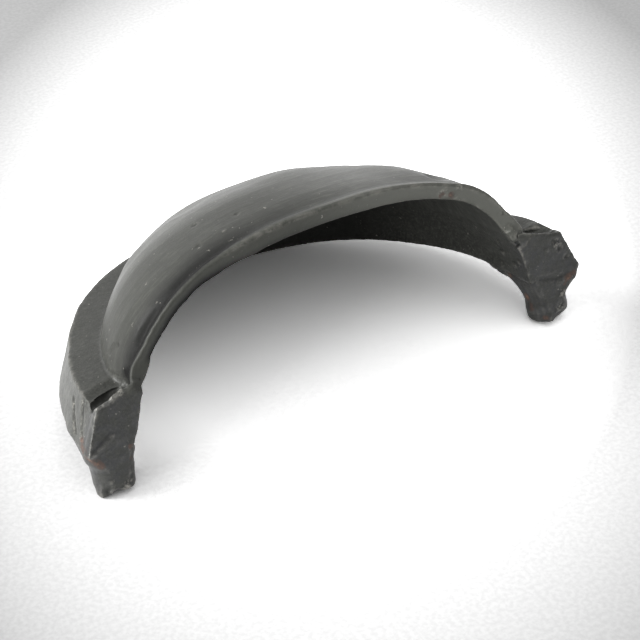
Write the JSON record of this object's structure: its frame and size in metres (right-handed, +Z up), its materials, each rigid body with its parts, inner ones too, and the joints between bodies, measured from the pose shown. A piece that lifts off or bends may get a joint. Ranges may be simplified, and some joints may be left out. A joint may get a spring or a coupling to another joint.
{
  "type": "drawer pull",
  "caption": "Half-round hooded drawer pull in rough cast iron, with a plain flange, a dished rim and a spigot behind each end.",
  "frame": {"origin": "bottom centre of the pull's bounding box as it lies on a table, resting on both spigot tips and the back edge of its crown", "axes": "+X across the pull from its left spigot to its right one as seen from the open side, +Y from the open side to the crown, +Z up from the table. The flat back faces down and tilts about 10 degrees from level, so as fixed to a drawer the back normal below points into the drawer front"},
  "size_m": [0.1018, 0.0566, 0.0352],
  "materials": {
    "cast_iron": "rough as cast, dark oiled, with rust spots"
  },
  "bodies": {
    "root": {"drawer_pull": "cast_iron"}
  },
  "joints": []
}
